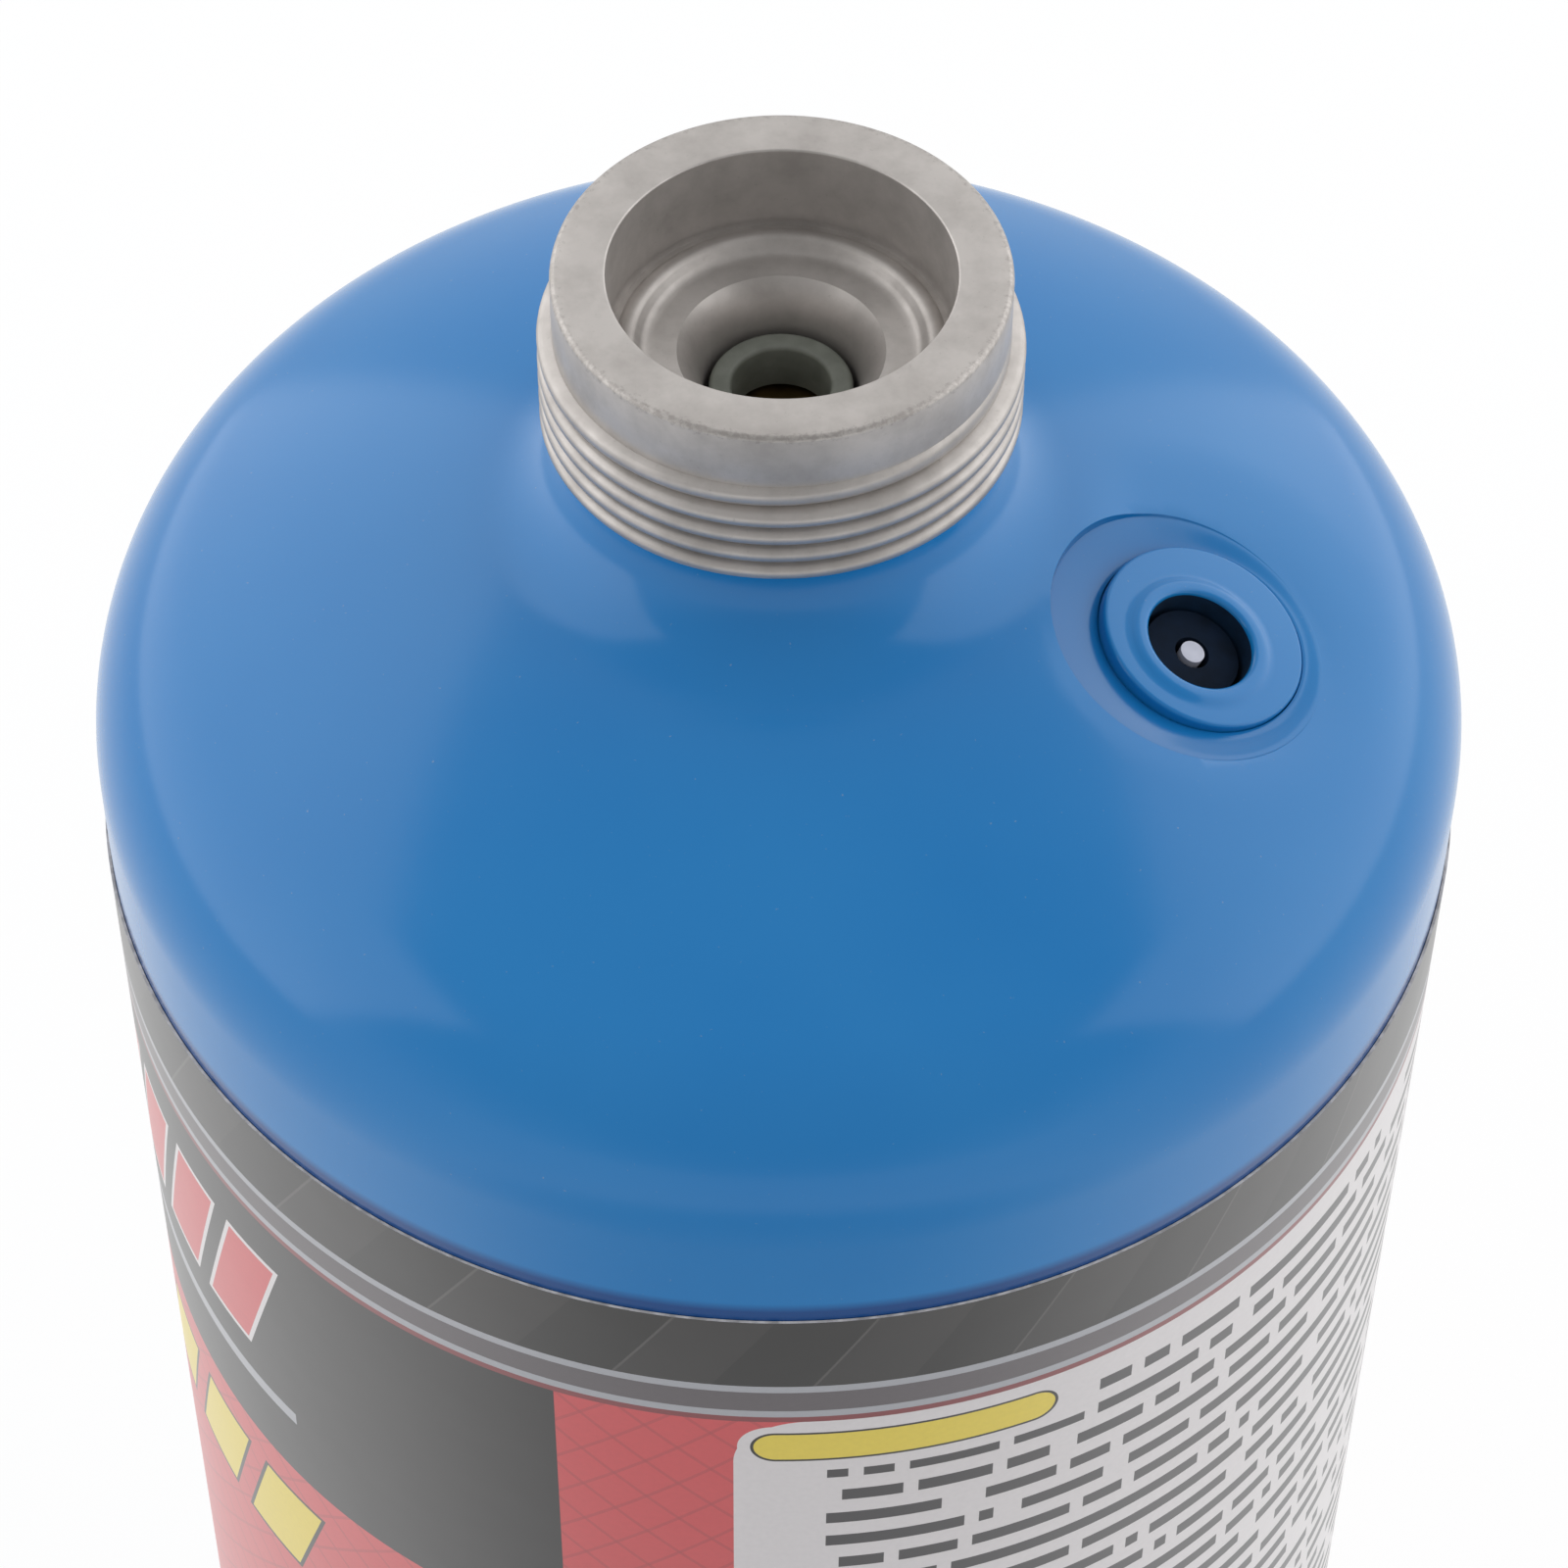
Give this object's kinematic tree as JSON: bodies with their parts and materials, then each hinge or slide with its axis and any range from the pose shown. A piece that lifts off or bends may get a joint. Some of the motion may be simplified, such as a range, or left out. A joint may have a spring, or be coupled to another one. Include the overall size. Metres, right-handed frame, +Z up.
{
  "type": "fuel canister",
  "caption": "Disposable steel fuel canister with a domed shoulder, a threaded valve collar, a pressure relief valve and a printed paper wrap label",
  "frame": {"origin": "centre of the standing ring on the floor, on the axis of the can", "axes": "+Z up along the can's axis, front of the label towards -Y, +X to the right seen from the front"},
  "size_m": [0.0768, 0.0768, 0.2505],
  "materials": {
    "blue_enamel": "sprayed and baked satin gloss blue enamel on drawn steel, with slight orange peel",
    "label_paper": "semi-gloss printed paper wrap, dark fields with red and pale panels, pale cut edge",
    "plated_steel": "turned and zinc plated steel with faint lathe marks, dull in the thread",
    "brass": "turned brass, slightly dulled",
    "spring_steel": "drawn spring wire",
    "seal_rubber": "moulded grey-green sealing rubber, matt",
    "black_rubber": "moulded black sealing rubber, matt",
    "pale_plastic": "moulded pale plastic stem",
    "dark_plastic": "dark moulded gland disc"
  },
  "bodies": {
    "can": {"can_body": "blue_enamel", "label_sleeve": "label_paper", "valve_bushing": "plated_steel", "seat_seal": "seal_rubber", "core_housing": "brass", "spring_retainer": "brass", "core_spring": "spring_steel", "relief_bushing": "blue_enamel", "relief_retainer": "dark_plastic", "relief_spring": "spring_steel"},
    "valve_plunger": {"valve_pin": "brass", "poppet_seal": "black_rubber"},
    "relief_plunger": {"relief_stem": "pale_plastic", "relief_seal": "black_rubber"}
  },
  "joints": [
    {"name": "valve_press", "type": "slide", "parent": "can", "child": "valve_plunger", "axis": [0, 0, -1], "range_m": [0, 0.0016], "stiffness_N_per_m": 1000, "springref_m": -0.002, "deforming": ["core_spring"]},
    {"name": "relief_lift", "type": "slide", "parent": "can", "child": "relief_plunger", "axis": [0.3249, -0.1049, 0.9399], "range_m": [0, 0.0012], "stiffness_N_per_m": 2000, "springref_m": -0.002, "deforming": ["relief_spring"]}
  ]
}
